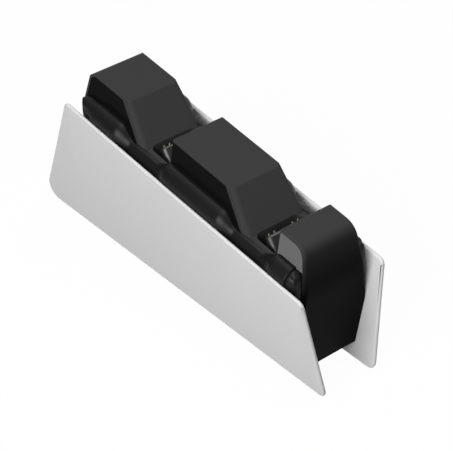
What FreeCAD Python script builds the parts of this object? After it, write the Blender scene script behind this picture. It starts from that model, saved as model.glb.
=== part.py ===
import FreeCAD, Part
import math
import os
from FreeCAD import Vector

# A two-seat charging dock for game controllers: a black ridge with three humps
# between two white plates that lean apart. All sizes are in millimetres.
# +X points to the nose, +Z up and +Y to the left plate. The shapes are drawn round
# the middle of the plates' bottom edges and then moved along X, so that the origin
# lies on the table below the middle of the whole dock.

# Side plates
plate_length = 233.0
plate_thickness = 2.2
plate_rear_height = 81.6
plate_front_height = 60.1
plate_rear_run = 37.2
plate_front_run = 9.1
plate_half_gap = 17.5
plate_rear_lean = 0.131
plate_front_lean = 0.178
plate_table_gap = 0.4
plate_top_radius = 4.0
plate_rear_bottom_radius = 8.0
plate_front_bottom_radius = 4.0
plate_edge_chamfer = 0.5

# Ridge, seen from the side: a falling line along the hump tops, and drops below it
ridge_height = 92.75
ridge_fall = 0.118
ridge_half_width = 16.6
side_lean = 0.13
rear_top_x = -70.9
rear_wall_lean = 0.2
rear_top_radius = 6.0
hump_front_radius = 1.5
hump_rear_radius = 3.0
ridge_edge_radius = 1.6
rear_edge_radius = 1.2
slope_angle = 53.0
slope_start = 20.6
slope_edge_radius = 3.5
seat_pitch = 81.8
front_seat_x = 63.5
seat_drop = 19.4
seat_to_wall = 13.7
nose_top_x = 97.25
nose_top_radius = 9.2
nose_knee_x = 101.9
nose_knee_z = 57.0
nose_knee_radius = 40.0
nose_bottom_x = 101.2
nose_bottom_z = 10.3

# Ridge cover: its thickness square to each face
cover_top = 1.2
cover_slope = 3.9
cover_floor = 2.0
cover_wall = 1.6
cover_front = 2.4
cover_rear = 2.0
cover_rear_skirt = 9.0

# Wells in the seats, measured from the contact pins
well_rear = 5.2
well_front = 12.4
well_half_width = 14.8
well_depth = 9.0
well_wall = 1.2
well_corner_radius = 3.5

# Glossy side panels under the edges of the cover
panel_thickness = 2.0
panel_inset = 0.5
panel_skirt = 12.0

# Housing between the plates
shoulder_half_width = 28.4
shoulder_lean = 0.15
band_drop = 23.0
band_step = 0.4
ledge_drop = 13.7
shoulder_radius = 7.0
shoulder_turn_radius = 11.5
shoulder_step = 2.0
shoulder_end = 7.0
shoulder_end_radius = 7.5
shoulder_edge_radius = 2.0
nose_shoulder_radius = 6.0
valley_step = 0.3
valley_edge_radius = 6.0
housing_wall = 2.0
housing_knee_drop = 28.5
housing_knee_radius = 30.0
housing_rear_lean = 0.456
housing_front_corner_radius = 5.5
plate_gap = 0.5

# Base cover and feet
base_height = 1.6
base_thickness = 3.0
base_front_x = 78.0
ramp_end_x = 88.0
foot_half_width = 4.0
foot_length = 22.0
foot_recess = 1.0
foot_y = 8.0
rear_foot_x = -84.0
front_foot_x = 50.0

# Contact posts with their pins and barrels
post_lean = 37.0
contact_half_length = 12.0
contact_thickness = 5.5
contact_length = 19.0
contact_drop = 17.95
flange_thickness = 1.4
flange_margin = 1.8
pin_row = 19.0
pin_pair_pitch = 3.5
pin_radius = 0.65
pin_rise = 1.3
collar_radius = 0.85
collar_length = 2.0
barrel_wall = 0.25
barrel_length = 8.0
barrel_lip = 0.6
tail_radius = 0.5

# Boards, power inlet, ballast and flat leads
board_thickness = 1.6
board_height = 4.0
board_rear_x = -94.5
board_front_x = -4.0
board_half_width = 11.0
board_screw_spots = [(-90.5, 8.3), (-36.0, 8.3)]
socket_height = 3.0
socket_length = 4.0
socket_margin = 1.0
contact_board_width = 12.0
contact_board_half_length = 13.0
inlet_length = 14.0
inlet_half_width = 5.5
inlet_body_height = 11.0
inlet_collar_radius = 4.6
inlet_collar_length = 4.0
inlet_bore_radius = 2.8
inlet_bore_depth = 10.0
inlet_pin_radius = 0.8
inlet_pin_recess = 1.0
inlet_hole_margin = 0.5
ballast_rear_x = 2.0
ballast_front_x = 56.0
ballast_half_width = 11.5
ballast_height = 12.0
ballast_chamfer = 1.0
ballast_screw_x = [14.0, 44.0]
lead_half_width = 4.0
lead_y = 5.5
lead_thickness = 0.6
lead_bend_radius = 3.0
rear_lead_x = -10.0
front_lead_x = -24.0
chip_x = [-72.0, -54.0]
chip_width = 9.0
chip_height = 1.2
coil_x = -43.0
coil_width = 6.0
coil_height = 3.2
capacitor_x = -63.0
capacitor_y = 7.0
capacitor_radius = 2.6
capacitor_height = 7.0

# Screws and bosses
screw_radius = 1.2
screw_head_radius = 2.4
screw_head_height = 1.5
screw_slot_width = 0.7
screw_slot_depth = 0.8
boss_radius = 3.0
boss_height = 10.0
boss_web = 1.6
base_screw_spots = [(-98.6, 9.5), (69.0, 9.5)]
base_screw_length = 9.0
board_screw_length = 5.0
ballast_screw_length = 7.0
plate_screw_spots = [(-72.0, 34.0), (8.0, 30.0), (80.0, 30.0)]
plate_screw_head_radius = 4.6
plate_screw_bite = 1.4

# Clearances
slip = 0.15
running = 0.05

seats = {"rear": front_seat_x - seat_pitch, "front": front_seat_x}
deep = -8.0
high = 140.0
far = 150.0
reach = 450.0
wide = 60.0
x_axis = Vector(1, 0, 0)
y_axis = Vector(0, 1, 0)
z_axis = Vector(0, 0, 1)


def ridge_line(x, drop=0.0):
    return ridge_height - ridge_fall * x - drop


def rounded_outline(corners):
    """Closed face in the XZ plane through corners (x, z, radius)."""
    points = [Vector(x, 0, z) for x, z, radius in corners]
    count = len(points)
    arcs = []
    for i, (x, z, radius) in enumerate(corners):
        here = points[i]
        back = (points[i - 1] - here).normalize()
        ahead = (points[(i + 1) % count] - here).normalize()
        if radius == 0:
            arcs.append((here, here, here))
            continue
        half_angle = back.getAngle(ahead) / 2
        setback = radius / math.tan(half_angle)
        middle = (back + ahead).normalize()
        centre = here + middle * (radius / math.sin(half_angle))
        arcs.append((here + back * setback, centre - middle * radius, here + ahead * setback))
    edges = []
    for i in range(count):
        start, top, end = arcs[i]
        if corners[i][2] > 0:
            edges.append(Part.Arc(start, top, end).toShape())
        edges.append(Part.makeLine(end, arcs[(i + 1) % count][0]))
    return Part.Face(Part.Wire(edges))


def side_slab(corners, y_low=-wide, y_high=wide):
    """Side view outline, given a width along Y."""
    face = rounded_outline(corners)
    face.translate(Vector(0, y_low, 0))
    return face.extrude(Vector(0, y_high - y_low, 0))


def inset_corners(corners, distances):
    """Moves each side of a clockwise outline inwards by its own distance."""
    count = len(corners)
    lines = []
    for i, distance in enumerate(distances):
        x0, z0, radius = corners[i]
        x1, z1, radius = corners[(i + 1) % count]
        length = math.hypot(x1 - x0, z1 - z0)
        dx, dz = (x1 - x0) / length, (z1 - z0) / length
        lines.append((x0 + dz * distance, z0 - dx * distance, dx, dz))
    moved = []
    for i in range(count):
        x0, z0, dx0, dz0 = lines[i - 1]
        x1, z1, dx1, dz1 = lines[i]
        cross = dx0 * dz1 - dz0 * dx1
        along = ((x1 - x0) * dz1 - (z1 - z0) * dx1) / cross
        shift = (distances[i - 1] + distances[i]) / 2
        radius = corners[i][2]
        if radius > 0:
            radius = max(radius - shift, 0.3) if cross < 0 else radius + shift
        moved.append((x0 + dx0 * along, z0 + dz0 * along, radius))
    return moved


def cross_section_prism(points, x_start, direction):
    """Section of (y, z) points in the plane x = x_start, carried along direction."""
    corners = [Vector(x_start, y, z) for y, z in points]
    return Part.Face(Part.makePolygon(corners + corners[:1])).extrude(direction)


def leaning_sides(half_width, lean, bottom_drop):
    """The space between two sides whose half width changes by lean for each unit of drop."""
    top_drop = -20.0
    top = half_width + lean * top_drop
    bottom = half_width + lean * bottom_drop
    z_top = ridge_line(-far, top_drop)
    z_bottom = ridge_line(-far, bottom_drop)
    points = [(-bottom, z_bottom), (bottom, z_bottom), (top, z_top), (-top, z_top)]
    return cross_section_prism(points, -far, Vector(2 * far, 0, -2 * far * ridge_fall))


def ridge_sides(inset):
    return leaning_sides(ridge_half_width - inset, side_lean, 130.0)


def plate_lean(x):
    rear_x = -plate_length / 2 + plate_rear_run
    front_x = plate_length / 2 - plate_front_run
    return plate_rear_lean + (plate_front_lean - plate_rear_lean) * (x - rear_x) / (front_x - rear_x)


def plate_face(x, z, inwards=0.0):
    """Half width to a plate's outer face, or to a surface that far inside it."""
    lean = plate_lean(x)
    return plate_half_gap + lean * z - inwards * math.hypot(1, lean)


def ruled_block(low_sides, high_sides):
    """Solid with ruled sides from x = -far to x = far; each side is a list of (y, z)."""
    wires = []
    for x, points in ((-far, low_sides), (far, high_sides)):
        corners = [Vector(x, y, z) for y, z in points]
        wires.append(Part.makePolygon(corners + corners[:1]))
    return Part.makeLoft(wires, True, True)


def between_plates(inwards):
    """The space between the plates, its sides set in from the plates' outer faces."""
    sections = []
    for x in (-far, far):
        low, top = plate_face(x, 0, inwards), plate_face(x, high, inwards)
        foot = plate_face(x, deep, inwards)
        sections.append([(-foot, deep), (foot, deep), (top, high), (-top, high)])
    return ruled_block(*sections)


def hump_corners():
    """Side view of each hump, clockwise from its rear foot, with what its sides are."""
    slope = math.tan(math.radians(slope_angle))
    humps = []
    starts = [rear_top_x] + [x + seat_to_wall for x in seats.values()]
    for i, start in enumerate(starts):
        top = ridge_line(start)
        lean = rear_wall_lean if i == 0 else 0.0
        radius = rear_top_radius if i == 0 else hump_rear_radius
        rear = cover_rear if i == 0 else cover_wall
        corners = [(start - lean * (top - deep), deep, 0), (start, top, radius)]
        if i < len(seats):
            end = list(seats.values())[i] - slope_start
            z_end = ridge_line(end)
            corners += [(end, z_end, hump_front_radius), (end + (z_end - deep) / slope, deep, 0)]
            inset = [rear, cover_top, cover_slope, 0.0]
        else:
            corners += [
                (nose_top_x, ridge_line(nose_top_x), nose_top_radius),
                (nose_knee_x, nose_knee_z, nose_knee_radius),
                (nose_bottom_x, nose_bottom_z, 0),
                (nose_bottom_x, deep, 0),
            ]
            inset = [rear, cover_top, cover_front, cover_front, cover_front, 0.0]
        humps.append((corners, inset))
    return humps


def floor_corners():
    first = rear_top_x + 2 * rear_top_radius
    last = nose_top_x - nose_top_radius
    return [
        (first, deep, 0),
        (first, ridge_line(first, seat_drop), 0),
        (last, ridge_line(last, seat_drop), 0),
        (last, deep, 0),
    ]


def rim_edges(block, path):
    """Edges of a block along a path (x, z, radius) in its side view, without the cross edges."""
    face = rounded_outline(path)
    rim = []
    for edge in block.Edges:
        middle = edge.valueAt((edge.FirstParameter + edge.LastParameter) / 2)
        across = edge.Vertexes[0].Y * edge.Vertexes[-1].Y < 0
        flat = Part.Vertex(middle.x, 0, middle.z)
        if not across and face.OuterWire.distToShape(flat)[0] < 0.01:
            rim.append(edge)
    return rim


def extended(path):
    """Closed outline of the half space to the right of a path (x, z, radius)."""
    ends = []
    for (x0, z0, r0), (x1, z1, r1), way in ((path[0], path[1], -1), (path[-2], path[-1], 1)):
        length = math.hypot(x1 - x0, z1 - z0)
        dx, dz = (x1 - x0) / length, (z1 - z0) / length
        x, z = (x0, z0) if way < 0 else (x1, z1)
        x, z = x + way * reach * dx, z + way * reach * dz
        ends.append(((x, z, 0), (x + reach * dz, z - reach * dx, 0)))
    (first, first_back), (last, last_back) = ends
    return [first] + path[1:-1] + [last, last_back, first_back]


def softened(path, radius, space):
    """Half space to the right of a path, its edges along the sides rounded."""
    outline = extended(path)
    block = side_slab(outline).common(space)
    return block.makeFillet(radius, rim_edges(block, outline))


def ridge_solid():
    """Outside of the whole ridge: three humps on a falling floor."""
    space = ridge_sides(0.0)
    whole = side_slab(floor_corners()).common(space)
    for i, (corners, inset) in enumerate(hump_corners()):
        rear_radius = rear_edge_radius if i == 0 else slope_edge_radius
        hump = side_slab(corners).common(softened(corners[:2], rear_radius, space))
        hump = hump.common(softened(corners[1:-1], ridge_edge_radius, space))
        if i < len(seats):
            hump = hump.common(softened(corners[2:4], slope_edge_radius, space))
        whole = whole.fuse(hump)
    return whole.removeSplitter()


def under_cover(extra):
    """Everything below the cover's inner face, set in further by extra."""
    floor = inset_corners(floor_corners(), [0.0, cover_floor + extra, 0.0, 0.0])
    whole = side_slab(floor)
    for corners, inset in hump_corners():
        distances = [depth + extra if depth else 0.0 for depth in inset]
        whole = whole.fuse(side_slab(inset_corners(corners, distances)))
    return whole.removeSplitter()


def under_line(drop, x_low=-far, x_high=far):
    """Everything more than a drop below the line along the hump tops."""
    corners = [(x_low, ridge_line(x_low, drop)), (x_high, ridge_line(x_high, drop))]
    corners += [(x_high, deep), (x_low, deep)]
    return side_slab([(x, z, 0) for x, z in corners])


def above_underside(offset):
    """Everything above the dock's underside, raised by offset."""
    corners = [
        (-far, high, 0),
        (far, high, 0),
        (far, nose_bottom_z, 0),
        (ramp_end_x, nose_bottom_z, 0),
        (base_front_x, base_height, 0),
        (-far, base_height, 0),
    ]
    return side_slab(inset_corners(corners, [0, 0, offset, offset, offset, 0]))


def shoulder_outlines():
    """Side view of the housing under each hump, with its sides to be softened."""
    knee_x = rear_top_x - rear_wall_lean * housing_knee_drop
    knee_z = ridge_line(rear_top_x, housing_knee_drop)
    foot_x = knee_x - housing_rear_lean * (knee_z - deep)
    top_x = rear_top_x - rear_wall_lean * ledge_drop
    outlines = []
    for i in range(len(seats) + 1):
        if i == 0:
            corners = [
                (foot_x, deep, 0),
                (knee_x, knee_z, housing_knee_radius),
                (top_x, ridge_line(top_x, ledge_drop), shoulder_radius),
            ]
            soft = [(0, 3, shoulder_turn_radius)]
        else:
            wall_x = list(seats.values())[i - 1] + seat_to_wall + shoulder_step
            corners = [(wall_x, deep, 0), (wall_x, ridge_line(wall_x, ledge_drop), shoulder_edge_radius)]
            soft = [(0, 2, shoulder_edge_radius)]
        top = len(corners) - 1
        if i < len(seats):
            end_x = list(seats.values())[i] - slope_start + shoulder_end
            corners += [(end_x, ridge_line(end_x, ledge_drop), shoulder_radius / 2), (end_x, deep, 0)]
            soft += [(top, top + 2, shoulder_radius), (top + 1, top + 3, shoulder_end_radius)]
        else:
            nose = hump_corners()[-1][0]
            depth = cover_front + slip
            nose = inset_corners(nose, [0.0, 0.0, depth, depth, depth, 0.0])
            (x0, z0, r0), (x1, z1, r1) = nose[2], nose[3]
            share = (z0 - ridge_line(x0, ledge_drop)) / (z0 - z1 - ridge_fall * (x1 - x0))
            front_x = x0 + share * (x1 - x0)
            corners += [(front_x, ridge_line(front_x, ledge_drop), nose_shoulder_radius)] + nose[3:]
            soft += [(top, top + 2, shoulder_radius), (top + 1, top + 4, housing_front_corner_radius)]
        outlines.append((corners, soft))
    return outlines


def lower_housing(inset):
    """The housing below its shoulders, fitted between the plates."""
    rear = inset_corners(shoulder_outlines()[0][0], [inset] * 4 + [0.0])[:3]
    front = inset_corners(shoulder_outlines()[-1][0], [inset] * 5 + [0.0])[2:5]
    top_x, top_z, radius = rear[2]
    block = side_slab(rear[:2] + [(top_x, top_z, 0)] + front + [(front[2][0], deep, 0)])
    block = block.common(between_plates(plate_thickness + plate_gap + inset)).common(under_line(band_drop))
    block = block.makeFillet(shoulder_turn_radius - inset, rim_edges(block, extended(rear)))
    return block.makeFillet(housing_front_corner_radius - inset, rim_edges(block, extended(front)))


def housing_solid(inset):
    """Outside of the housing without its slot, set in by inset."""
    space = leaning_sides(shoulder_half_width - inset, -shoulder_lean, 2 * band_drop)
    drop = seat_drop + valley_step + inset
    valley = under_line(drop, rear_top_x + shoulder_radius, nose_top_x - shoulder_radius)
    path = [(-far, ridge_line(-far, drop), 0), (far, ridge_line(far, drop), 0)]
    whole = valley.common(softened(path, max(valley_edge_radius - inset, slip), space))
    for corners, soft in shoulder_outlines():
        distances = [inset] * (len(corners) - 1) + [0.0]
        corners = inset_corners(corners, distances)
        block = side_slab(corners)
        for first, last, radius in soft:
            block = block.common(softened(corners[first:last], max(radius - inset, slip), space))
        whole = whole.fuse(block)
    return whole.cut(under_line(band_drop)).fuse(lower_housing(inset + band_step)).removeSplitter()


def upright_cylinder(x, y, z_low, z_top, radius):
    return Part.makeCylinder(radius, z_top - z_low, Vector(x, y, z_low))


def box_between(x_low, x_high, y_low, y_high, z_low, z_high):
    return Part.makeBox(x_high - x_low, y_high - y_low, z_high - z_low, Vector(x_low, y_low, z_low))


def rounded_block(x_low, x_high, y_low, y_high, z_low, z_high, radius):
    block = box_between(x_low, x_high, y_low, y_high, z_low, z_high)
    upright = [edge for edge in block.Edges if abs(edge.tangentAt(edge.FirstParameter).z) > 0.9]
    return block.makeFillet(radius, upright)


def both_sides(shape):
    return [shape, shape.mirror(Vector(0, 0, 0), y_axis)]


def fused(shapes):
    whole = shapes[0]
    for shape in shapes[1:]:
        whole = whole.fuse(shape)
    return whole.removeSplitter()


def screw(head, axis, length, head_radius=screw_head_radius):
    """Slotted screw: head is the centre under its head, axis points to the tip."""
    shank = Part.makeCylinder(screw_radius, length, head, axis)
    cap = Part.makeCylinder(screw_head_radius, screw_head_height, head, axis * -1)
    rim = [edge for edge in cap.Edges if abs((edge.BoundBox.Center - head).Length - screw_head_height) < 0.01]
    cap = cap.makeChamfer(screw_head_height / 3, rim)
    body = cap.fuse(shank)
    if head_radius > screw_head_radius:
        body = body.fuse(Part.makeCylinder(head_radius, screw_head_height / 3, head, axis * -1))
    slot = Part.makeBox(2 * head_radius, screw_slot_width, screw_slot_depth)
    slot.translate(Vector(-head_radius, -screw_slot_width / 2, 0))
    turn = FreeCAD.Rotation(z_axis, axis * -1)
    top = head - axis * (screw_head_height - screw_slot_depth)
    slot.Placement = FreeCAD.Placement(top, turn).multiply(slot.Placement)
    return body.cut(slot).removeSplitter()


def seat_floor(pin_x):
    return ridge_line(pin_x, seat_drop)


def well_block(pin_x, grow, z_low, z_high):
    return rounded_block(
        pin_x - well_rear - grow,
        pin_x + well_front + grow,
        -well_half_width - grow,
        well_half_width + grow,
        z_low,
        z_high,
        well_corner_radius + grow,
    )


def contact_axis():
    lean = math.radians(post_lean)
    return Vector(-math.sin(lean), 0, math.cos(lean))


def contact_top(pin_x):
    return Vector(pin_x, 0, ridge_line(pin_x, contact_drop))


def along_axis(shape, origin):
    """Stands an upright shape at the origin on the leaning contact axis."""
    turned = shape.copy()
    turned.Placement = FreeCAD.Placement(origin, FreeCAD.Rotation(z_axis, contact_axis()))
    return turned


def stadium(half_length, thickness, z_low, z_high):
    radius = thickness / 2
    bar = box_between(-radius, radius, radius - half_length, half_length - radius, z_low, z_high)
    ends = [upright_cylinder(0, y, z_low, z_high, radius) for y in (radius - half_length, half_length - radius)]
    return fused([bar] + ends)


def pin_places():
    half = pin_row / 2
    return [-half, -half + pin_pair_pitch, half - pin_pair_pitch, half]


def plate_corners():
    """Side view of a plate, clockwise from its rear bottom corner."""
    rear, front = -plate_length / 2, plate_length / 2
    return [
        (rear + plate_rear_run * plate_table_gap / plate_rear_height, plate_table_gap, plate_rear_bottom_radius),
        (rear + plate_rear_run, plate_rear_height, plate_top_radius),
        (front - plate_front_run, plate_front_height, plate_top_radius),
        (front - plate_front_run * plate_table_gap / plate_front_height, plate_table_gap, plate_front_bottom_radius),
    ]


def side_plate():
    sheet = between_plates(0.0).cut(between_plates(plate_thickness))
    sheet = sheet.common(side_slab(plate_corners(), 0.0, wide))
    return sheet.makeChamfer(plate_edge_chamfer, sheet.Edges)


def plate_normal(x, z):
    """Unit vector square to a plate, pointing out of the dock on the left."""
    return Vector(-(plate_lean(1) - plate_lean(0)) * z, 1, -plate_lean(x)).normalize()


def plate_spot(x, z, inwards):
    """Point inside the left plate's outer face, square to it."""
    return Vector(x, plate_face(x, z), z) - plate_normal(x, z) * inwards


def housing_wall_depth():
    """From a plate's outer face to the inner face of the housing wall behind it."""
    return plate_thickness + plate_gap + band_step + housing_wall


def side_plate_with_bosses():
    plate = side_plate()
    reach_in = housing_wall_depth() - running
    for x, z in plate_screw_spots:
        normal = plate_normal(x, z)
        boss = Part.makeCylinder(boss_radius, reach_in - plate_thickness / 2, plate_spot(x, z, reach_in), normal)
        thread_depth = reach_in - plate_thickness + plate_screw_bite
        thread = Part.makeCylinder(screw_radius, thread_depth, plate_spot(x, z, reach_in), normal)
        plate = plate.fuse(boss).cut(thread)
    return plate.removeSplitter()


def ridge_cover():
    shell = ridge_solid().cut(under_cover(0.0))
    shell = shell.common(between_plates(plate_thickness + plate_gap)).common(above_underside(0.0))
    shell = shell.cut(under_line(ledge_drop + cover_rear_skirt, -far, rear_top_x + rear_top_radius))
    for pin_x in seats.values():
        floor = seat_floor(pin_x)
        bottom = floor - well_depth
        tub = well_block(pin_x, well_wall, bottom - well_wall, floor - cover_floor / 2)
        slope_side = ridge_line(pin_x - well_rear) - seat_drop + cover_floor
        opening = well_block(pin_x, 0.0, bottom, slope_side + cover_slope)
        stop = pin_x + seat_to_wall
        opening = opening.common(box_between(-far, stop, -wide, wide, deep, high))
        slot = stadium(contact_half_length + slip, contact_thickness + 2 * slip, -contact_length, 0)
        shell = shell.fuse(tub).cut(opening).cut(along_axis(slot, contact_top(pin_x)))
    return shell.removeSplitter()


def side_panel():
    """Glossy skin on the left that closes the ridge below the edge of its cover."""
    skin = under_cover(slip).common(ridge_sides(panel_inset).cut(ridge_sides(panel_inset + panel_thickness)))
    lowest = ledge_drop + panel_skirt
    skin = skin.cut(under_line(lowest)).common(box_between(-far, far, 0, wide, deep, high))
    front_wall = hump_corners()[-1][0][2][0] - cover_front - housing_wall - 2 * slip
    behind = box_between(front_wall, far, 0, wide, deep, high).common(under_line(ledge_drop - slip))
    return skin.cut(behind).removeSplitter()


def slot_block():
    """The way through the housing for the panels, and for the cover with its rear skirt."""
    rear_z = ridge_line(rear_top_x)
    rear_x = rear_top_x + housing_wall * math.hypot(1, rear_wall_lean)
    front_wall = hump_corners()[-1][0][2][0] - cover_front - housing_wall - slip
    corners = [
        (rear_x - rear_wall_lean * (rear_z - deep), deep, 0),
        (rear_x - rear_wall_lean * (rear_z - high), high, 0),
        (front_wall, high, 0),
        (front_wall, deep, 0),
    ]
    inside = side_slab(corners).cut(under_line(ledge_drop + panel_skirt + slip))
    behind = box_between(-far, rear_top_x, -wide, wide, deep, high)
    behind = behind.cut(under_line(ledge_drop + cover_rear_skirt + slip))
    return inside.fuse(behind).common(ridge_sides(-slip))


def base_top():
    return base_height + base_thickness


def board_low():
    return base_top() + board_height


def inlet_axis_height():
    return board_low() + board_thickness + inlet_body_height / 2


def housing():
    outer = housing_solid(0.0)
    shell = outer.cut(housing_solid(housing_wall)).common(above_underside(0.0)).cut(slot_block())
    for x, y in base_screw_spots:
        low, top = base_top(), base_top() + boss_height
        boss = upright_cylinder(x, y, low, top, boss_radius)
        web = box_between(x - boss_web / 2, x + boss_web / 2, y, plate_face(x, top), low, top)
        hole = upright_cylinder(x, y, low, top - screw_head_height, screw_radius)
        for side in both_sides(boss.fuse(web).common(outer)):
            shell = shell.fuse(side)
        for side in both_sides(hole):
            shell = shell.cut(side)
    reach_in = housing_wall_depth() + boss_height
    for x, z in plate_screw_spots:
        hole = Part.makeCylinder(boss_radius + slip, reach_in, plate_spot(x, z, reach_in), plate_normal(x, z))
        for side in both_sides(hole):
            shell = shell.cut(side)
    way_in = Vector(-far, 0, inlet_axis_height())
    plug_hole = Part.makeCylinder(inlet_collar_radius + inlet_hole_margin, far + board_rear_x, way_in, x_axis)
    return shell.cut(plug_hole).removeSplitter()


def foot_block(x, y, grow, z_low, z_high):
    return rounded_block(
        x - foot_length / 2 - grow,
        x + foot_length / 2 + grow,
        y - foot_half_width - grow,
        y + foot_half_width + grow,
        z_low,
        z_high,
        foot_half_width * 0.75,
    )


def foot_places():
    return [(x, y) for x in (rear_foot_x, front_foot_x) for y in (-foot_y, foot_y)]


def base_cover():
    plate = housing_solid(housing_wall + slip).common(above_underside(0.0)).cut(above_underside(base_thickness))
    tray = box_between(
        ballast_rear_x - slip - screw_head_height,
        ballast_front_x + slip + screw_head_height,
        -ballast_half_width,
        ballast_half_width,
        base_top(),
        base_top() + screw_head_height,
    )
    tray = tray.cut(box_between(ballast_rear_x - slip, ballast_front_x + slip, -wide, wide, deep, high))
    plate = plate.fuse(tray)
    for x, y in board_screw_spots:
        standoff = upright_cylinder(x, y, base_top() - slip, board_low(), screw_head_radius)
        thread = upright_cylinder(x, y, board_low() + board_thickness - board_screw_length, board_low(), screw_radius)
        for side in both_sides(standoff):
            plate = plate.fuse(side)
        for side in both_sides(thread):
            plate = plate.cut(side)
    for x, y in foot_places():
        plate = plate.cut(foot_block(x, y, slip, deep, base_height + foot_recess))
    screws = [(x, side * y) for x, y in base_screw_spots for side in (-1, 1)]
    screws += [(x, 0.0) for x in ballast_screw_x]
    for x, y in screws:
        counterbore = upright_cylinder(x, y, deep, base_height + screw_head_height + slip, screw_head_radius + slip)
        plate = plate.cut(counterbore).cut(upright_cylinder(x, y, deep, high, screw_radius + slip))
    return plate.removeSplitter()


def feet():
    shapes = []
    for x, y in foot_places():
        foot = foot_block(x, y, 0.0, 0.0, base_height + foot_recess)
        rim = [edge for edge in foot.Edges if edge.BoundBox.ZMax < 0.01]
        shapes.append(foot.makeChamfer(foot_recess / 2, rim))
    return shapes


def contact_post(pin_x):
    top = contact_top(pin_x)
    bar = stadium(contact_half_length, contact_thickness, -contact_length, 0)
    rim = [edge for edge in bar.Edges if edge.BoundBox.ZMin > -0.01]
    bar = along_axis(bar.makeChamfer(barrel_lip, rim), top)
    flange_top = seat_floor(pin_x) - well_depth - well_wall
    travel = (top.z - flange_top) / contact_axis().z
    centre_x = (top - contact_axis() * travel).x
    half = contact_thickness / 2 / contact_axis().z + flange_margin
    flange = rounded_block(
        centre_x - half,
        centre_x + half,
        -contact_half_length - flange_margin,
        contact_half_length + flange_margin,
        flange_top - flange_thickness,
        flange_top,
        half / 2,
    )
    post = bar.fuse(flange)
    bore = collar_radius + running + barrel_wall
    for y in pin_places():
        hole = upright_cylinder(0, y, -barrel_length, 0, bore).fuse(
            upright_cylinder(0, y, -contact_length, 0, tail_radius + slip)
        )
        post = post.cut(along_axis(hole, top))
    return post.removeSplitter()


def pin_barrels(pin_x):
    """Four closed brass tubes with a lip at the mouth and a tail that reaches the board."""
    shapes = []
    inner = collar_radius + running
    for y in pin_places():
        tube = upright_cylinder(0, y, -barrel_length, 0, inner + barrel_wall)
        tube = tube.cut(upright_cylinder(0, y, -barrel_length + barrel_lip, -barrel_lip, inner))
        tube = tube.cut(upright_cylinder(0, y, -barrel_lip, 0, pin_radius + running))
        tail = upright_cylinder(0, y, -contact_length - board_thickness, -barrel_length, tail_radius)
        shapes.append(along_axis(tube.fuse(tail), contact_top(pin_x)))
    return Part.makeCompound(shapes)


def contact_pin(pin_x, y):
    tip = upright_cylinder(0, y, -barrel_lip, pin_rise, pin_radius)
    rim = [edge for edge in tip.Edges if edge.BoundBox.ZMin > pin_rise - 0.01]
    tip = tip.makeChamfer(pin_radius / 2, rim)
    collar = upright_cylinder(0, y, -barrel_lip - collar_length, -barrel_lip, collar_radius)
    return along_axis(tip.fuse(collar).removeSplitter(), contact_top(pin_x))


def contact_board(pin_x):
    board = box_between(
        -contact_board_width / 2,
        contact_board_width / 2,
        -contact_board_half_length,
        contact_board_half_length,
        -contact_length - board_thickness,
        -contact_length,
    )
    for y in pin_places():
        board = board.cut(upright_cylinder(0, y, -far, 0, tail_radius + slip))
    return along_axis(board, contact_top(pin_x))


def main_board():
    low, top = board_low(), board_low() + board_thickness
    board = box_between(board_rear_x, board_front_x, -board_half_width, board_half_width, low, top)
    for x, y in board_screw_spots:
        for side in both_sides(upright_cylinder(x, y, low, top, screw_radius + slip)):
            board = board.cut(side)
    return board


def board_components():
    """Charger chips, a coil, two capacitors and the sockets of the leads."""
    top = board_low() + board_thickness
    half = chip_width / 2
    chips = [box_between(x - half, x + half, -half, half, top, top + chip_height) for x in chip_x]
    half = coil_width / 2
    coil = rounded_block(coil_x - half, coil_x + half, -half, half, top, top + coil_height, half / 3)
    cans = []
    for y in (-capacitor_y, capacitor_y):
        cans.append(upright_cylinder(capacitor_x, y, top, top + capacitor_height, capacitor_radius))
    sockets = []
    for x, y in ((rear_lead_x, lead_y), (front_lead_x, -lead_y)):
        half = lead_half_width + socket_margin
        sockets.append(box_between(
            x - socket_length / 2,
            x + socket_length / 2,
            y - half,
            y + half,
            top,
            top + socket_height,
        ))
    return Part.makeCompound(chips + [coil] + cans + sockets)


def dc_inlet():
    low = board_low() + board_thickness
    rear = board_rear_x - screw_head_height
    body = rounded_block(
        rear,
        rear + inlet_length,
        -inlet_half_width,
        inlet_half_width,
        low,
        low + inlet_body_height,
        screw_head_height / 3,
    )
    mouth = Vector(rear - inlet_collar_length, 0, inlet_axis_height())
    collar = Part.makeCylinder(inlet_collar_radius, inlet_collar_length, mouth, x_axis)
    body = body.fuse(collar).cut(Part.makeCylinder(inlet_bore_radius, inlet_bore_depth, mouth, x_axis))
    seat = Part.makeCylinder(inlet_pin_radius, inlet_bore_depth + socket_length, mouth, x_axis)
    return body.cut(seat).removeSplitter()


def inlet_pin():
    start = board_rear_x - screw_head_height - inlet_collar_length + inlet_pin_recess
    length = inlet_bore_depth + socket_length - inlet_pin_recess
    pin = Part.makeCylinder(inlet_pin_radius, length, Vector(start, 0, inlet_axis_height()), x_axis)
    tip = [edge for edge in pin.Edges if edge.BoundBox.XMax < start + 0.01]
    return pin.makeChamfer(inlet_pin_radius / 2, tip)


def ballast_bar():
    bar = box_between(
        ballast_rear_x,
        ballast_front_x,
        -ballast_half_width,
        ballast_half_width,
        base_top(),
        base_top() + ballast_height,
    )
    bar = bar.makeChamfer(ballast_chamfer, bar.Edges)
    for x in ballast_screw_x:
        tip = base_height + screw_head_height + slip + ballast_screw_length
        bar = bar.cut(upright_cylinder(x, 0.0, base_top(), tip, screw_radius))
    return bar


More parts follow.
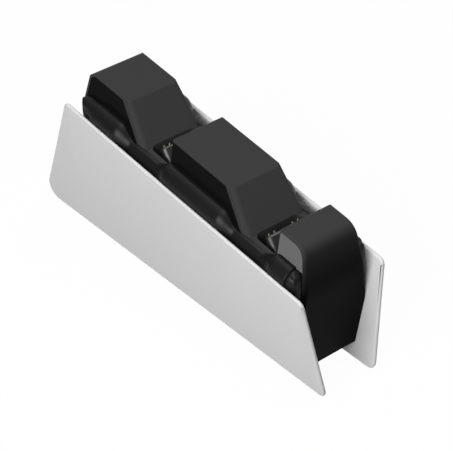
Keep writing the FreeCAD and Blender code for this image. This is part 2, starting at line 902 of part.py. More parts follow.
def lead(path, y):
    """Flat lead of even thickness along a path of (x, z) points."""
    left, right = [], []
    half = lead_thickness / 2
    for i, (x, z) in enumerate(path):
        before = path[max(i - 1, 0)]
        after = path[min(i + 1, len(path) - 1)]
        ways = []
        for (xa, za), (xb, zb) in ((before, (x, z)), ((x, z), after)):
            length = math.hypot(xb - xa, zb - za)
            if length > 0:
                ways.append(((xb - xa) / length, (zb - za) / length))
        (dx0, dz0), (dx1, dz1) = ways[0], ways[-1]
        share = half / (1 + dx0 * dx1 + dz0 * dz1)
        nx, nz = -(dz0 + dz1) * share, (dx0 + dx1) * share
        turn = dx0 * dz1 - dz0 * dx1
        bend = math.copysign(half, turn) if abs(turn) > 0.001 else 0.0
        radius = lead_bend_radius if bend else 0.0
        left.append((x + nx, z + nz, radius - bend if bend else 0.0))
        right.append((x - nx, z - nz, radius + bend if bend else 0.0))
    return side_slab(left + right[::-1], y - lead_half_width, y + lead_half_width)


def lead_start(pin_x, distance):
    point = contact_top(pin_x) - contact_axis() * (contact_length + board_thickness + distance)
    return (point.x, point.z)


def rear_lead():
    pin_x = seats["rear"]
    turn_x, turn_z = lead_start(pin_x, lead_bend_radius * 1.5)
    end = board_low() + board_thickness + socket_height
    path = [
        lead_start(pin_x, 0.0),
        (turn_x, turn_z),
        (rear_lead_x, turn_z - 2 * lead_bend_radius),
        (rear_lead_x, end),
    ]
    return lead(path, lead_y)


def front_lead():
    pin_x = seats["front"]
    turn_x, turn_z = lead_start(pin_x, lead_bend_radius)
    end = board_low() + board_thickness + socket_height
    level = base_top() + ballast_height + slip + lead_thickness / 2
    path = [
        lead_start(pin_x, 0.0),
        (turn_x, turn_z),
        (ballast_front_x + 3 * lead_bend_radius, level),
        (front_lead_x, level),
        (front_lead_x, end),
    ]
    return lead(path, -lead_y)


def base_screws():
    height = base_height + screw_head_height + slip
    heads = [Vector(x, side * y, height) for x, y in base_screw_spots for side in (-1, 1)]
    return Part.makeCompound([screw(head, z_axis, base_screw_length) for head in heads])


def ballast_screws():
    height = base_height + screw_head_height + slip
    heads = [Vector(x, 0, height) for x in ballast_screw_x]
    return Part.makeCompound([screw(head, z_axis, ballast_screw_length) for head in heads])


def board_screws():
    height = board_low() + board_thickness
    heads = [Vector(x, side * y, height) for x, y in board_screw_spots for side in (-1, 1)]
    return Part.makeCompound([screw(head, z_axis * -1, board_screw_length) for head in heads])


def plate_screws():
    shapes = []
    depth = housing_wall_depth()
    for x, z in plate_screw_spots:
        bite = depth - plate_thickness + plate_screw_bite - 2 * running
        head = plate_spot(x, z, depth + running)
        fitting = screw(head, plate_normal(x, z), bite, plate_screw_head_radius)
        shapes += both_sides(fitting)
    return Part.makeCompound(shapes)


nodes = {}
left_plate = side_plate_with_bosses()
nodes["side_plate_left"], nodes["side_plate_right"] = both_sides(left_plate)
nodes["ridge_cover"] = ridge_cover()
nodes["gloss_panel_left"], nodes["gloss_panel_right"] = both_sides(side_panel())
nodes["housing"] = housing()
nodes["base_cover"] = base_cover()
for name, foot in zip(("rear_right", "rear_left", "front_right", "front_left"), feet()):
    nodes["foot_" + name] = foot
nodes["ballast_bar"] = ballast_bar()
nodes["main_board"] = main_board()
nodes["board_components"] = board_components()
nodes["dc_inlet"] = dc_inlet()
nodes["inlet_pin"] = inlet_pin()
for seat, pin_x in seats.items():
    nodes["contact_post_" + seat] = contact_post(pin_x)
    nodes["pin_barrels_" + seat] = pin_barrels(pin_x)
    nodes["contact_board_" + seat] = contact_board(pin_x)
    for number, y in enumerate(pin_places(), 1):
        nodes["contact_pin_%s_%d" % (seat, number)] = contact_pin(pin_x, y)
nodes["lead_rear"] = rear_lead()
nodes["lead_front"] = front_lead()
nodes["base_screws"] = base_screws()
nodes["ballast_screws"] = ballast_screws()
nodes["board_screws"] = board_screws()
nodes["plate_screws"] = plate_screws()

os.makedirs("parts", exist_ok=True)
length = rounded_outline(plate_corners()).BoundBox
to_middle = Vector(-(length.XMin + length.XMax) / 2, 0, 0)
for name, shape in nodes.items():
    shape.translate(to_middle)
    shape.exportStep("parts/" + name + ".step")
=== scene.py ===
import math
import bmesh
import bpy
from mathutils import Matrix, Vector


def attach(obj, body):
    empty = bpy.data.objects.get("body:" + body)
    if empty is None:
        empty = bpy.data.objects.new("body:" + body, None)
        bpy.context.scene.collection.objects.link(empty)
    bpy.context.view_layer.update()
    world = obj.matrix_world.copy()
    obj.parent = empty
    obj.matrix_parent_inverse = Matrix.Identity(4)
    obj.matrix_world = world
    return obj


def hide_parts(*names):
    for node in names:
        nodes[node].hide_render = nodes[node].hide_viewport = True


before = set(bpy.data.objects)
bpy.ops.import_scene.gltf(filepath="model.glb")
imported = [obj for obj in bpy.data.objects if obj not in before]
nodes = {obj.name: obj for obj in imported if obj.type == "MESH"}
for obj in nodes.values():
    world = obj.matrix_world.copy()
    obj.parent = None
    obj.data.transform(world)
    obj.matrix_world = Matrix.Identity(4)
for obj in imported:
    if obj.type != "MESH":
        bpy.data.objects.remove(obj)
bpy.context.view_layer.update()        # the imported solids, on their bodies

# the camera, from the lines of the photograph
shot = {
    "azimuth": 49.25, "elevation": 36.47, "roll": 0.628,   # degrees
    "focal": 1941.41, "imageWidth": 453.0,                 # pixels
    "offset": (0.01218, 0.02738), "distance": 1.03692,     # metres
    "sensor": 36.0, "clip": (0.05, 20.0),
}


def buildCamera(s):
    a, e, roll = (math.radians(s[k]) for k in ("azimuth", "elevation", "roll"))
    back = Vector((math.sin(a) * math.cos(e), -math.cos(a) * math.cos(e), math.sin(e)))
    right = Vector((math.cos(a), math.sin(a), 0))
    up = back.cross(right)
    rolledRight = right * math.cos(roll) + up * math.sin(roll)
    rolledUp = up * math.cos(roll) - right * math.sin(roll)
    spot = rolledRight * s["offset"][0] + rolledUp * s["offset"][1] + back * s["distance"]
    data = bpy.data.cameras.new("photoCamera")
    data.sensor_width = s["sensor"]
    data.lens = s["focal"] / s["imageWidth"] * data.sensor_width
    data.clip_start, data.clip_end = s["clip"]
    camera = bpy.data.objects.new("photoCamera", data)
    turn = Matrix((rolledRight, rolledUp, back)).transposed()
    camera.matrix_world = Matrix.Translation(spot) @ turn.to_4x4()
    bpy.context.collection.objects.link(camera)
    bpy.context.scene.camera = camera


buildCamera(shot)
print("camera set")

# lights, floor and world
studio = {
    "floorSize": 20.0, "floorColour": 0.12, "floorSeen": 0.90, "floorWhite": 0.97,
    "worldLight": 0.10, "worldDark": 0.08,             # the second is its dimmest in reflections
    "worldBright": (-0.10, 0.62, 0.77), "worldFrom": 0.25, "worldTo": 0.75,
    "overhead": {
        "place": (0.05, 0.30, 1.20), "aim": (0, 0, 0.05), "size": (0.9, 0.9), "power": 7.6,
    },
    "sideBox": {
        "place": (0.36, -1.01, 0.62), "aim": (0, 0, 0.04), "size": (0.9, 0.7), "power": 13.9,
    },
}


def areaLight(name, s):
    data = bpy.data.lights.new(name, "AREA")
    data.shape = "RECTANGLE"
    data.size, data.size_y = s["size"]
    data.energy = s["power"]
    lamp = bpy.data.objects.new(name, data)
    lamp.location = s["place"]
    aim = Vector(s["aim"]) - Vector(s["place"])
    lamp.rotation_euler = aim.to_track_quat("-Z", "Y").to_euler()
    bpy.context.collection.objects.link(lamp)


def mathNode(tree, operation, first, second, clamp=False):
    node = tree.nodes.new("ShaderNodeMath")
    node.operation = operation
    node.use_clamp = clamp
    for i, value in enumerate((first, second)):
        if isinstance(value, (int, float)):
            node.inputs[i].default_value = value
        else:
            tree.links.new(value, node.inputs[i])
    return node.outputs[0]


def lightPath(tree):
    # 1 for the camera's own rays, and 1 for rays that metal or glass sends on
    path = tree.nodes.new("ShaderNodeLightPath")
    glossy, clear = path.outputs["Is Glossy Ray"], path.outputs["Is Transmission Ray"]
    return path.outputs["Is Camera Ray"], mathNode(tree, "ADD", glossy, clear, True)


def buildFloor(s):
    bpy.ops.mesh.primitive_plane_add(size=s["floorSize"], location=(0, 0, 0))
    floor = bpy.context.active_object
    floor.name = "studioFloor"
    paint = bpy.data.materials.new("paleFloor")
    paint.use_nodes = True
    tree = paint.node_tree
    tree.nodes.clear()
    out = tree.nodes.new("ShaderNodeOutputMaterial")
    diffuse = tree.nodes.new("ShaderNodeBsdfDiffuse")
    glow = tree.nodes.new("ShaderNodeEmission")
    mix = tree.nodes.new("ShaderNodeMixShader")
    eye, mirrored = lightPath(tree)
    paler = mathNode(tree, "MULTIPLY", eye, s["floorSeen"] - s["floorColour"])
    tree.links.new(mathNode(tree, "ADD", paler, s["floorColour"]), diffuse.inputs["Color"])
    seen = mathNode(tree, "ADD", eye, mirrored, True)
    tree.links.new(mathNode(tree, "MULTIPLY", seen, s["floorWhite"]), mix.inputs[0])
    tree.links.new(diffuse.outputs[0], mix.inputs[1])
    tree.links.new(glow.outputs[0], mix.inputs[2])
    tree.links.new(mix.outputs[0], out.inputs[0])
    floor.data.materials.append(paint)


def buildWorld(s):
    # white for the camera, and in reflections brightest above and behind the dock
    world = bpy.data.worlds.new("studioWorld")
    bpy.context.scene.world = world
    world.use_nodes = True
    tree = world.node_tree
    tree.nodes.clear()
    out = tree.nodes.new("ShaderNodeOutputWorld")
    dim = tree.nodes.new("ShaderNodeBackground")
    dim.inputs["Strength"].default_value = s["worldLight"]
    white = tree.nodes.new("ShaderNodeBackground")
    white.inputs["Color"].default_value = (1, 1, 1, 1)
    where = tree.nodes.new("ShaderNodeTexCoord")
    towards = tree.nodes.new("ShaderNodeVectorMath")
    towards.operation = "DOT_PRODUCT"
    towards.inputs[1].default_value = s["worldBright"]
    tree.links.new(where.outputs["Generated"], towards.inputs[0])
    soft = tree.nodes.new("ShaderNodeMapRange")
    soft.interpolation_type = "SMOOTHSTEP"
    soft.inputs["From Min"].default_value = s["worldFrom"]
    soft.inputs["From Max"].default_value = s["worldTo"]
    soft.inputs["To Min"].default_value = s["worldDark"]
    tree.links.new(towards.outputs["Value"], soft.inputs["Value"])
    eye, mirrored = lightPath(tree)
    seen = mathNode(tree, "MULTIPLY", mirrored, soft.outputs["Result"])
    mix = tree.nodes.new("ShaderNodeMixShader")
    tree.links.new(mathNode(tree, "ADD", eye, seen, True), mix.inputs[0])
    tree.links.new(dim.outputs[0], mix.inputs[1])
    tree.links.new(white.outputs[0], mix.inputs[2])
    tree.links.new(mix.outputs[0], out.inputs[0])


def buildStudio(s):
    buildFloor(s)
    buildWorld(s)
    for name in ("overhead", "sideBox"):
        areaLight(name, s[name])
    bpy.context.scene.view_settings.view_transform = "Standard"


buildStudio(studio)
print("studio set")

# finishes: mottled colour and gloss, a fine mould grain of the given size, and on two of them painted
# light along X
finishes = {
    "whiteShell": {
        "colour": (0.74, 0.74, 0.745), "roughness": 0.42, "specular": 0.4,
        "grain": 0.00025, "bump": 0.05,
    },
    "matteBlack": {                                    # painted shade: darker round the bend of the nose and on its front
        "colour": (0.0435, 0.0435, 0.044), "roughness": 0.5, "specular": 0.04,
        "grain": 0.0003, "bump": 0.08,
        "second": (0.0015, 0.0015, 0.0015), "from": 0.0915, "to": 0.0998,
    },
    "glossBlack": {                                    # painted reflection: the panels on the nose are painted a paler grey for the light they reflect
        "colour": (0.0058, 0.0058, 0.0058), "roughness": 0.12, "specular": 0.012,
        "grain": 0.002, "bump": 0.01,
        "second": (0.16, 0.16, 0.16), "from": 0.070, "to": 0.0701,
    },
    "postBlack": {
        "colour": (0.014, 0.014, 0.014), "roughness": 0.40, "specular": 1.0,
        "grain": 0.0003, "bump": 0.02,
    },
    "satinBlack": {
        "colour": (0.007, 0.007, 0.0071), "roughness": 0.38, "specular": 0.2,
        "grain": 0.0003, "bump": 0.05,
    },
    "baseBlack": {
        "colour": (0.03, 0.03, 0.03), "roughness": 0.6, "specular": 0.3,
        "grain": 0.0004, "bump": 0.1,
    },
    "rubber": {
        "colour": (0.025, 0.025, 0.025), "roughness": 0.85, "specular": 0.3,
        "grain": 0.0003, "bump": 0.15,
    },
    "boardGreen": {
        "colour": (0.01, 0.12, 0.045), "roughness": 0.35, "specular": 0.5,
        "grain": 0.0006, "bump": 0.04,
    },
    "epoxy": {
        "colour": (0.02, 0.02, 0.022), "roughness": 0.5, "specular": 0.4,
        "grain": 0.0002, "bump": 0.06,
    },
    "leadWhite": {
        "colour": (0.55, 0.55, 0.53), "roughness": 0.5, "specular": 0.4,
        "grain": 0.0004, "bump": 0.05,
    },
}
metals = {
    "zincSteel": {"colour": (0.50, 0.50, 0.51), "roughness": 0.38, "grain": 0.0005, "bump": 0.05},
    "brass": {"colour": (0.72, 0.53, 0.24), "roughness": 0.3, "grain": 0.0002, "bump": 0.04},
    "brightPlate": {"colour": (0.80, 0.78, 0.72), "roughness": 0.22, "grain": 0.0002, "bump": 0.03},
    "contactPlate": {"colour": (0.115, 0.10, 0.07), "roughness": 0.42, "grain": 0.0002, "bump": 0.03},
    "darkScrew": {"colour": (0.22, 0.22, 0.23), "roughness": 0.35, "grain": 0.0002, "bump": 0.04},
}
mottling = {                                           # the same for every finish
    "scale": 30.0, "detail": 4.0, "tones": (0.96, 1.04), "gloss": (0.9, 1.1), "grainDetail": 2.0,
}


def toneRamp(tree, colour, mottle):
    ramp = tree.nodes.new("ShaderNodeValToRGB")
    for i, tone in enumerate(mottling["tones"]):
        ramp.color_ramp.elements[i].color = tuple(c * tone for c in colour) + (1,)
    tree.links.new(mottle.outputs["Fac"], ramp.inputs["Fac"])
    return ramp.outputs["Color"]


def paintedLightAlongX(tree, s, where, first, second):
    # painted light: the second colour from one place along X on, a painted shade on the matte black
    # and a painted reflection on the gloss black
    split = tree.nodes.new("ShaderNodeSeparateXYZ")
    tree.links.new(where.outputs["Object"], split.inputs[0])
    after = tree.nodes.new("ShaderNodeMapRange")
    after.interpolation_type = "SMOOTHSTEP"
    after.inputs["From Min"].default_value = s["from"]
    after.inputs["From Max"].default_value = s["to"]
    tree.links.new(split.outputs["X"], after.inputs["Value"])
    mix = tree.nodes.new("ShaderNodeMix")
    mix.data_type = "RGBA"
    factor, inputA, inputB, colourOut = 0, 6, 7, 2     # the sockets in use when it mixes colours
    tree.links.new(after.outputs["Result"], mix.inputs[factor])
    tree.links.new(first, mix.inputs[inputA])
    tree.links.new(second, mix.inputs[inputB])
    return mix.outputs[colourOut]


def finish(name, s, metal=False):
    material = bpy.data.materials.new(name)
    material.use_nodes = True
    tree = material.node_tree
    shader = next(n for n in tree.nodes if n.type == "BSDF_PRINCIPLED")
    where = tree.nodes.new("ShaderNodeTexCoord")
    mottle = tree.nodes.new("ShaderNodeTexNoise")      # slow change of colour and gloss
    mottle.inputs["Scale"].default_value = mottling["scale"]
    mottle.inputs["Detail"].default_value = mottling["detail"]
    tree.links.new(where.outputs["Object"], mottle.inputs["Vector"])
    colour = toneRamp(tree, s["colour"], mottle)
    # a second colour is painted light, laid on along X
    if "second" in s:
        colour = paintedLightAlongX(tree, s, where, colour, toneRamp(tree, s["second"], mottle))
    tree.links.new(colour, shader.inputs["Base Color"])
    gloss = tree.nodes.new("ShaderNodeMapRange")
    for socket, share in zip(("To Min", "To Max"), mottling["gloss"]):
        gloss.inputs[socket].default_value = s["roughness"] * share
    tree.links.new(mottle.outputs["Fac"], gloss.inputs["Value"])
    tree.links.new(gloss.outputs["Result"], shader.inputs["Roughness"])
    grain = tree.nodes.new("ShaderNodeTexNoise")       # mould grain
    grain.inputs["Scale"].default_value = 1 / (2 * s["grain"])
    grain.inputs["Detail"].default_value = mottling["grainDetail"]
    tree.links.new(where.outputs["Object"], grain.inputs["Vector"])
    bump = tree.nodes.new("ShaderNodeBump")
    bump.inputs["Strength"].default_value = s["bump"]
    bump.inputs["Distance"].default_value = s["grain"]
    tree.links.new(grain.outputs["Fac"], bump.inputs["Height"])
    tree.links.new(bump.outputs["Normal"], shader.inputs["Normal"])
    if metal:
        shader.inputs["Metallic"].default_value = 1.0
    else:
        shader.inputs["Specular IOR Level"].default_value = s["specular"]
    return material


made = {name: finish(name, s) for name, s in finishes.items()}
made.update({name: finish(name, s, True) for name, s in metals.items()})
coats = {
    "side_plate": "whiteShell", "ridge_cover": "matteBlack", "gloss_panel": "glossBlack",
    "housing": "satinBlack", "base_cover": "baseBlack", "foot_": "rubber",
    "ballast_bar": "zincSteel", "main_board": "boardGreen", "contact_board": "boardGreen",
    "board_components": "epoxy", "dc_inlet": "epoxy", "inlet_pin": "brightPlate",
    "contact_post": "postBlack", "pin_barrels": "brass", "contact_pin": "brightPlate",
    "lead_": "leadWhite", "base_screws": "darkScrew", "ballast_screws": "darkScrew",
    "board_screws": "darkScrew", "plate_screws": "darkScrew",
}
for nodeName, thing in nodes.items():
    coat = next(made[coats[start]] for start in coats if nodeName.startswith(start))
    for i in range(len(thing.material_slots)):
        thing.material_slots[i].material = coat
print("finishes on", len(nodes), "pieces")


# helpers for modelling
hair = 1e-6                                            # metres, below which points are one


def clearSelection():
    if bpy.context.object and bpy.context.object.mode != "OBJECT":
        bpy.ops.object.mode_set(mode="OBJECT")
    bpy.ops.object.select_all(action="DESELECT")


def takeUp(piece):
    clearSelection()
    piece.select_set(True)
    bpy.context.view_layer.objects.active = piece


def openMesh(piece):
    takeUp(piece)
    bpy.ops.object.mode_set(mode="EDIT")
    bpy.ops.mesh.select_all(action="DESELECT")


def pick(piece, kind, test):
    # in edit mode: points by place, edges by their two ends, faces by middle and normal
    bpy.ops.mesh.select_mode(type=kind)
    bpy.ops.mesh.select_all(action="DESELECT")
    mesh = bmesh.from_edit_mesh(piece.data)
    if kind == "VERT":
        for vertex in mesh.verts:
            vertex.select_set(test(vertex.co))
    elif kind == "EDGE":
        for edge in mesh.edges:
            edge.select_set(test(edge.verts[0].co, edge.verts[1].co))
    else:
        for face in mesh.faces:
            face.select_set(test(face.calc_center_median(), face.normal))
    mesh.select_flush_mode()
    bmesh.update_edit_mesh(piece.data)


def mergeAll():
    bpy.ops.mesh.select_all(action="SELECT")
    bpy.ops.mesh.remove_doubles(threshold=hair)


def cutAll(place, direction):
    bpy.ops.mesh.select_all(action="SELECT")
    bpy.ops.mesh.bisect(plane_co=place, plane_no=direction)


def closeMesh(piece, angle):
    bpy.ops.object.mode_set(mode="OBJECT")
    takeUp(piece)
    bpy.ops.object.transform_apply(location=True, rotation=True, scale=True)
    bpy.ops.object.shade_smooth_by_angle(angle=math.radians(angle))


def useModifier(piece, kind, values):
    takeUp(piece)
    modifier = piece.modifiers.new(kind.title(), kind)
    for key, value in values.items():
        setattr(modifier, key, value)
    bpy.ops.object.modifier_apply(modifier=modifier.name)


def copyPiece(source, name):
    piece = source.copy()
    piece.data = source.data.copy()
    piece.name = name
    bpy.context.collection.objects.link(piece)
    return piece


def finishPiece(piece, coat, body, slot, *replaced):
    piece.data.materials.clear()
    piece.data.materials.append(made[coat])
    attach(piece, body)
    if replaced:
        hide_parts(*replaced)


# the falling line along the hump tops, which heights are measured down from
ridge = {"height": 0.092519, "fall": 0.118}


def lineZ(x, drop):
    return ridge["height"] - ridge["fall"] * x - drop


# the housing, its shoulders remade as one flank each side that falls beside the seats
seatFlank = {
    "pinRows": (-0.020255, 0.061545),                  # X of the contact pins
    "rear": -0.062, "front": 0.0905, "bottom": 0.030, "band": 0.023,
    "fallFrom": -0.0235, "fallTo": -0.0130, "riseFrom": 0.0070, "riseTo": 0.0190,
    "slotHalf": 0.01675, "slotLean": 0.13,
    "ledge": 0.0137, "ledgeRadius": 0.007, "shoulderHalf": 0.0284, "shoulderLean": 0.15,
    "lip": 0.0196, "lipWidth": 0.0026, "lipHeight": 0.0050, "lipFoot": 0.0003,
    "stepDrop": 0.00005, "footRise": 0.0002,           # the last rows, above the lower body
    "plateHalf": 0.0175, "plateLean": 0.151436, "plateTwist": 0.25174, "plateInset": 0.0031,
    "lengthCuts": 240, "arcCuts": 14, "endRows": 5, "wall": 0.0012,
    "smooth": 50, "shellSmooth": 30, "faceWeight": 100,
}


def smoothStep(value, low, high):
    share = min(max((value - low) / (high - low), 0.0), 1.0)
    return share * share * (3 - 2 * share)


def flankSection(s, x):
    # (y, drop) from inside the slot, over the crest and down to the lower body
    def slotY(drop):
        return s["slotHalf"] + s["slotLean"] * drop

    def besidePlate(drop):
        lean = s["plateLean"] + s["plateTwist"] * x
        return s["plateHalf"] + lean * lineZ(x, drop) - s["plateInset"] * math.hypot(1, lean)

    foot = (besidePlate(s["bottom"]), s["bottom"])
    radius = s["ledgeRadius"]
    square = math.hypot(1, s["shoulderLean"])
    low = s["ledge"] + radius
    middle = s["shoulderHalf"] - s["shoulderLean"] * low - radius * square
    start = math.asin(max((slotY(s["ledge"]) - middle) / radius, 0))
    end = math.radians(90) + math.atan(s["shoulderLean"])
    shoulder = [(slotY(s["bottom"]), s["bottom"]), (slotY(s["lip"]), s["lip"])]
    seat = [(slotY(s["bottom"]), s["bottom"]), (slotY(s["band"]), s["band"])]
    for i in range(s["arcCuts"] + 1):
        turn = start + (end - start) * i / s["arcCuts"]
        shoulder.append((middle + radius * math.sin(turn), low - radius * math.cos(turn)))
        turn = math.radians(90) * i / s["arcCuts"]
        y = slotY(s["lip"]) + s["lipWidth"] * math.sin(turn)
        seat.append((y, s["lip"] + s["lipHeight"] * (1 - math.cos(turn))))
    bandY = s["shoulderHalf"] - s["shoulderLean"] * s["band"]
    stepIn = (min(besidePlate(s["band"]), bandY), s["band"] + s["stepDrop"])
    shoulder += [(bandY, s["band"]), stepIn, foot]
    lastY, lastDrop = seat[-1]
    halfway = (lastY + s["lipFoot"], (lastDrop + s["bottom"]) / 2)
    seat += [halfway, (lastY + 2 * s["lipFoot"], s["bottom"] - s["footRise"]), foot]
    share = 0                                          # 1 beside a seat, 0 beside a hump
    for pinRow in s["pinRows"]:
        down = smoothStep(x - pinRow, s["fallFrom"], s["fallTo"])
        share += down * (1 - smoothStep(x - pinRow, s["riseFrom"], s["riseTo"]))
    return [
        (a[0] + (b[0] - a[0]) * share, a[1] + (b[1] - a[1]) * share)
        for a, b in zip(shoulder, seat)
    ]


def buildFlank(s, name):
    # a grid whose rows are laid along the sections
    rows = s["arcCuts"] + s["endRows"]
    clearSelection()
    bpy.ops.mesh.primitive_grid_add(x_subdivisions=s["lengthCuts"], y_subdivisions=rows, size=2)
    piece = bpy.context.active_object
    piece.name = name
    for vertex in piece.data.vertices:
        x = s["rear"] + (s["front"] - s["rear"]) * (vertex.co.x + 1) / 2
        y, drop = flankSection(s, x)[round((vertex.co.y + 1) / 2 * rows)]
        vertex.co = (x, y, lineZ(x, drop))
    openMesh(piece)
    bpy.ops.mesh.select_all(action="SELECT")
    bpy.ops.mesh.flip_normals()
    closeMesh(piece, s["smooth"])
    return piece


def buildHousing(s):
    shell = copyPiece(nodes["housing"], "housingShell")
    openMesh(shell)
    mergeAll()
    for end in ("rear", "front"):
        cutAll((s[end], 0, 0), (1, 0, 0))
    cutAll((0, 0, lineZ(0, s["bottom"])), (ridge["fall"], 0, 1))

    def flankFace(middle, normal):
        high = lineZ(middle.x, 0) - middle.z < s["bottom"] - hair
        return high and s["rear"] < middle.x < s["front"] and abs(middle.y) > s["slotHalf"]

    pick(shell, "FACE", flankFace)
    bpy.ops.mesh.delete(type="FACE")
    closeMesh(shell, s["shellSmooth"])
    useModifier(shell, "WEIGHTED_NORMAL", {"keep_sharp": True, "weight": s["faceWeight"]})
    left = buildFlank(s, "flankLeft")
    right = copyPiece(left, "flankRight")
    openMesh(right)
    bpy.ops.mesh.select_all(action="SELECT")
    bpy.ops.transform.resize(value=(1, -1, 1), center_override=(0, 0, 0))
    bpy.ops.mesh.flip_normals()
    closeMesh(right, s["smooth"])
    for piece in (left, right):
        useModifier(piece, "SOLIDIFY", {"thickness": s["wall"], "offset": -1})
    return shell, left, right


housingShell, flankLeft, flankRight = buildHousing(seatFlank)
finishPiece(housingShell, "satinBlack", "root", "housing", "housing")
finishPiece(flankLeft, "satinBlack", "root", "housing")
finishPiece(flankRight, "satinBlack", "root", "housing")
print("housing with its two flanks")

# the side plates, each a leaning sheet with soft edges and rounded corners
plate = {
    "corners": (                                       # X, Z and radius in the side view
        (-0.118275, 0.0004, 0.008), (0.114485, 0.0004, 0.004),
        (0.105445, 0.0601, 0.004), (-0.081255, 0.0816, 0.004),
    ),
    "half": 0.0175, "lean": 0.151436, "twist": 0.25174, "thickness": 0.0022,
    "edge": 0.00105, "edgeCuts": 5, "cornerCuts": 10, "lengthCuts": 26,
    "edgeAngle": 50, "smooth": 40, "bossSmooth": 30, "bossFrom": 1.02,
}


def plateFace(s, x, z):
    # Y of the outer face, and how much of Y a unit of thickness takes
    lean = s["lean"] + s["twist"] * x
    return s["half"] + lean * z, math.hypot(1, lean)


def plateDepth(s, x, y, z):
    # how far a point lies inside the outer face, 1 at the inner face
    outer, stretch = plateFace(s, x, z)
    return (outer - abs(y)) / (s["thickness"] * stretch)


def buildPlate(s, name, side):
    clearSelection()
    bpy.ops.mesh.primitive_plane_add(size=2)
    piece = bpy.context.active_object
    piece.name = name
    order = ((-1, -1), (1, -1), (1, 1), (-1, 1))       # of the plane's own corners
    corners = s["corners"]
    for vertex in piece.data.vertices:
        x, z, radius = corners[order.index((round(vertex.co.x), round(vertex.co.y)))]
        vertex.co = (x, z, 0)
    openMesh(piece)
    for i, (x, z, radius) in enumerate(corners):
        here = Vector((x, z))
        sides = [Vector(corners[j % len(corners)][:2]) - here for j in (i - 1, i + 1)]
        pick(piece, "VERT", lambda place: (place.xy - here).length < hair)
        half = sides[0].angle(sides[1]) / 2
        profile = (1 - 0.5 / (1 + math.sin(half))) ** 2    # a round arc at any corner
        bpy.ops.mesh.bevel(
            offset=radius / math.tan(half), segments=s["cornerCuts"], profile=profile,
            affect="VERTICES", clamp_overlap=False,
        )
    for i in range(1, s["lengthCuts"]):
        x = corners[0][0] + (corners[1][0] - corners[0][0]) * i / s["lengthCuts"]
        cutAll((x, 0, 0), (1, 0, 0))
    bpy.ops.object.mode_set(mode="OBJECT")
    useModifier(piece, "SOLIDIFY", {"thickness": s["thickness"], "offset": -1})
    useModifier(piece, "BEVEL", {
        "width": s["edge"], "segments": s["edgeCuts"], "limit_method": "ANGLE",
        "angle_limit": math.radians(s["edgeAngle"]), "use_clamp_overlap": False,
    })
    for vertex in piece.data.vertices:                 # the flat sheet stands up and leans
        x, z, depth = vertex.co.x, vertex.co.y, -vertex.co.z
        outer, stretch = plateFace(s, x, z)
        vertex.co = (x, side * (outer - depth * stretch), z)
    openMesh(piece)
    bpy.ops.mesh.select_all(action="SELECT")
    bpy.ops.mesh.normals_make_consistent(inside=False)
    closeMesh(piece, s["smooth"])
    return piece


for nodeName, pieceName in (("side_plate_left", "plateLeft"), ("side_plate_right", "plateRight")):
    bosses = copyPiece(nodes[nodeName], pieceName + "Bosses")    # the screw bosses stay as built
    side = 1 if bosses.data.vertices[0].co.y > 0 else -1
    openMesh(bosses)
    mergeAll()
    pick(bosses, "FACE", lambda middle, normal: plateDepth(plate, *middle) < plate["bossFrom"])
    bpy.ops.mesh.delete(type="FACE")
    closeMesh(bosses, plate["bossSmooth"])
    sheet = buildPlate(plate, pieceName, side)
    print(pieceName, "with boss faces", len(bosses.data.polygons))
    takeUp(sheet)
    bosses.select_set(True)
    bpy.ops.object.join()
    finishPiece(sheet, "whiteShell", "root", "plate", nodeName)
print("plates")

# the sprung contact pins: a domed tip, a groove, a collar and a tail, modelled once
pin = {
    "tilt": 37.0, "topDrop": 0.01795, "rise": 0.0013, "radius": 0.00065,
    "dome": 0.0006, "domeCuts": 6, "sides": 28, "smooth": 35,
    "grooveTop": 0.0010, "grooveFoot": 0.0012, "grooveDepth": 0.00009,
    "collarFrom": 0.0019, "collarRadius": 0.00085, "collarLength": 0.0020, "tailRadius": 0.0005,
    "seats": ("rear", "front"), "inSeat": 4,
}


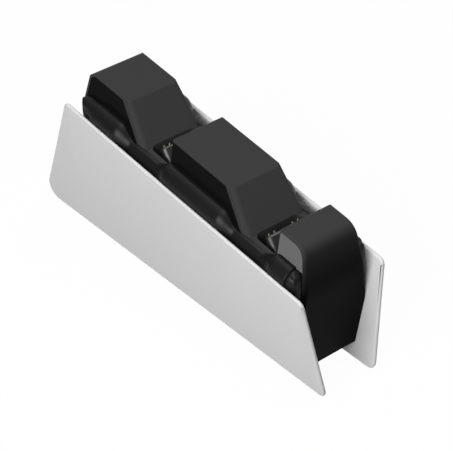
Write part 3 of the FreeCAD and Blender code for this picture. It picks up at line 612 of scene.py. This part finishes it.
def buildPin(s, tail):
    # made upright with its tip at the origin, in a mesh that lies half its length higher
    high = s["collarFrom"] / 2
    clearSelection()
    bpy.ops.mesh.primitive_cylinder_add(
        vertices=s["sides"], radius=s["radius"], depth=s["collarFrom"], location=(0, 0, -high)
    )
    piece = bpy.context.active_object
    openMesh(piece)
    for key in ("grooveTop", "grooveFoot"):
        cutAll((0, 0, -s[key]), (0, 0, 1))
    top, foot = high - s["grooveTop"], high - s["grooveFoot"]
    pick(piece, "FACE", lambda middle, normal: foot < middle.z < top)
    groove = {"value": -s["grooveDepth"]}
    bpy.ops.mesh.extrude_region_shrink_fatten(TRANSFORM_OT_shrink_fatten=groove)
    pick(piece, "EDGE", lambda a, b: min(a.z, b.z) > high - hair)
    bpy.ops.mesh.bevel(offset=s["dome"], segments=s["domeCuts"], affect="EDGES")
    pick(piece, "FACE", lambda middle, normal: middle.z < -high + hair)
    steps = (                                          # how far down, and how much wider
        (0, s["collarRadius"] / s["radius"]), (s["collarLength"], 1),
        (0, s["tailRadius"] / s["collarRadius"]),
        (tail - s["collarFrom"] - s["collarLength"], 1),
    )
    for drop, scale in steps:
        bpy.ops.mesh.extrude_region_move(TRANSFORM_OT_translate={"value": (0, 0, -drop)})
        bpy.ops.transform.resize(value=(scale, scale, 1))
    bpy.ops.mesh.select_all(action="SELECT")
    bpy.ops.mesh.normals_make_consistent(inside=False)
    closeMesh(piece, s["smooth"])
    return piece


def placePins(s):
    tilt = math.radians(s["tilt"])
    axis = Vector((-math.sin(tilt), 0, math.cos(tilt)))
    lean = Matrix.Rotation(-tilt, 4, "Y")
    master = None
    for seat, row in zip(s["seats"], seatFlank["pinRows"]):
        tip = Vector((row, 0, lineZ(row, s["topDrop"]))) + axis * s["rise"]
        for number in range(1, s["inSeat"] + 1):
            nodeName = "contact_pin_%s_%d" % (seat, number)
            node = nodes[nodeName]
            spots = [node.matrix_world @ v.co for v in node.data.vertices]
            if master is None:
                master = buildPin(s, -min((spot - tip).dot(axis) for spot in spots))
            piece = copyPiece(master, "pin" + seat.title() + str(number))
            middle = Vector((0, sum(spot.y for spot in spots) / len(spots), 0))
            piece.data.transform(Matrix.Translation(tip + middle) @ lean)
            finishPiece(piece, "contactPlate", nodeName, "contact_metal", nodeName)
    bpy.data.objects.remove(master)


placePins(pin)
print("eight contact pins")
